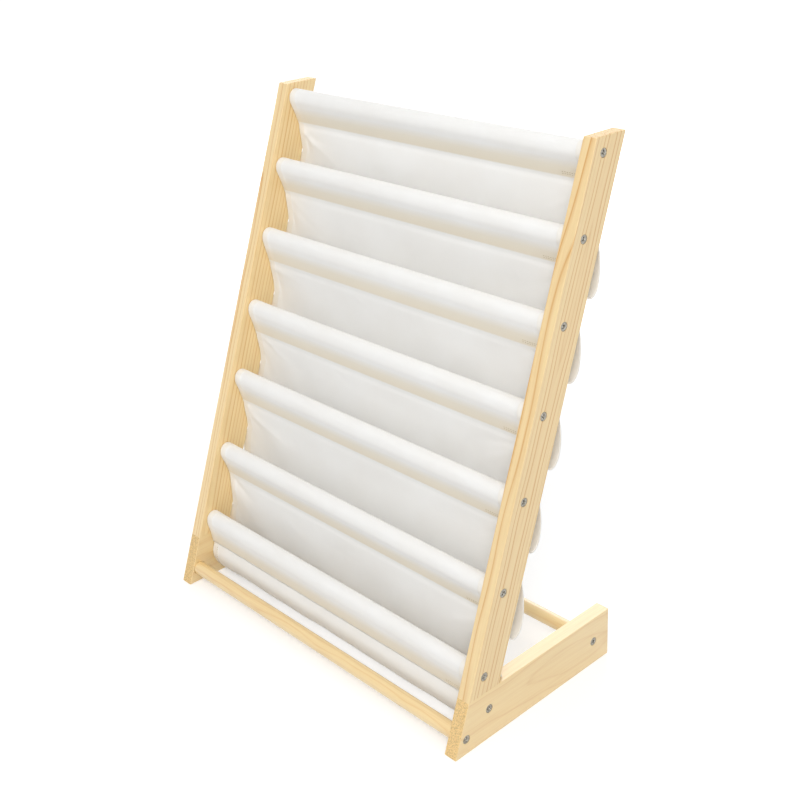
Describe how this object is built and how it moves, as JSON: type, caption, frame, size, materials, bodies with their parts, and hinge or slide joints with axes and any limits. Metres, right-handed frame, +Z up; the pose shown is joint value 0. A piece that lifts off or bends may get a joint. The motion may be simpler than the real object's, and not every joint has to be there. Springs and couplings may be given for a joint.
{
  "type": "sling bookshelf",
  "caption": "Leaning pine frame for children's books: round rods between two sides on feet carry canvas pockets.",
  "frame": {"origin": "on the floor, in the middle of the outline of the whole part", "axes": "+X to the right as seen from the front, +Y to the back, +Z up; the pockets face -Y"},
  "size_m": [0.53, 0.2836, 0.66],
  "materials": {
    "pine_boards": "clear matt varnish on pale pine",
    "pine_rods": "smooth turned pine, clear matt varnish",
    "beech_dowels": "bare beech",
    "canvas": "plain-weave cotton canvas, off-white",
    "screws": "zinc-plated steel"
  },
  "bodies": {
    "root": {"left_upright": "pine_boards", "left_foot": "pine_boards", "left_joint_dowel_1": "beech_dowels", "left_joint_dowel_2": "beech_dowels", "right_upright": "pine_boards", "right_foot": "pine_boards", "right_joint_dowel_1": "beech_dowels", "right_joint_dowel_2": "beech_dowels", "sling_rod_1": "pine_rods", "sling_rod_1_left_screw": "screws", "sling_rod_1_right_screw": "screws", "sling_rod_2": "pine_rods", "sling_rod_2_left_screw": "screws", "sling_rod_2_right_screw": "screws", "sling_rod_3": "pine_rods", "sling_rod_3_left_screw": "screws", "sling_rod_3_right_screw": "screws", "sling_rod_4": "pine_rods", "sling_rod_4_left_screw": "screws", "sling_rod_4_right_screw": "screws", "sling_rod_5": "pine_rods", "sling_rod_5_left_screw": "screws", "sling_rod_5_right_screw": "screws", "sling_rod_6": "pine_rods", "sling_rod_6_left_screw": "screws", "sling_rod_6_right_screw": "screws", "sling_rod_7": "pine_rods", "sling_rod_7_left_screw": "screws", "sling_rod_7_right_screw": "screws", "lower_rod": "pine_rods", "lower_rod_left_screw": "screws", "lower_rod_right_screw": "screws", "front_stretcher": "pine_rods", "front_stretcher_left_screw": "screws", "front_stretcher_right_screw": "screws", "rear_stretcher": "pine_rods", "rear_stretcher_left_screw": "screws", "rear_stretcher_right_screw": "screws", "sling_1": "canvas", "sling_2": "canvas", "sling_3": "canvas", "sling_4": "canvas", "sling_5": "canvas", "sling_6": "canvas", "lower_hem": "canvas"}
  },
  "joints": []
}
